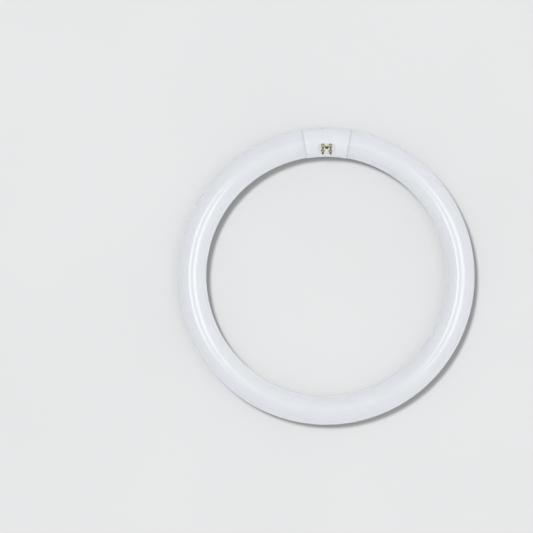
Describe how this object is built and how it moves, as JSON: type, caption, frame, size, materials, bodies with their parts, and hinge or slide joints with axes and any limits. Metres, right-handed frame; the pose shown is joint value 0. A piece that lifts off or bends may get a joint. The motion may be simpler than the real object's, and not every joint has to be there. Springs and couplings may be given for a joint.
{
  "type": "circular fluorescent tube",
  "caption": "Ring-shaped fluorescent tube of white coated glass, closed by a plastic base with contact pins that lean towards the ring's centre.",
  "frame": {"origin": "centre of the ring on the surface that the lamp lies on", "axes": "+Z along the ring's axis, on the side that the pins stand out of; +Y from the ring's centre to the base; +X to the right with the base at the top"},
  "size_m": [0.3048, 0.3051, 0.0361],
  "materials": {
    "coated_glass": "clear glass with a white powder coating inside, smooth and glossy outside, opaque",
    "base_plastic": "white moulded plastic, semi-gloss",
    "contact_brass": "turned brass, greenish yellow, tarnished darker towards the tip",
    "rivet_brass": "rolled brass, dull, dark in its bore",
    "lead_metal": "drawn nickel-plated wire"
  },
  "bodies": {
    "root": {"glass_tube": "coated_glass", "base_shell_front": "base_plastic", "base_shell_back": "base_plastic", "base_rivet": "rivet_brass", "contact_pin_1": "contact_brass", "contact_pin_2": "contact_brass", "contact_pin_3": "contact_brass", "contact_pin_4": "contact_brass", "lead_wire_1": "lead_metal", "lead_wire_2": "lead_metal", "lead_wire_3": "lead_metal", "lead_wire_4": "lead_metal"}
  },
  "joints": []
}
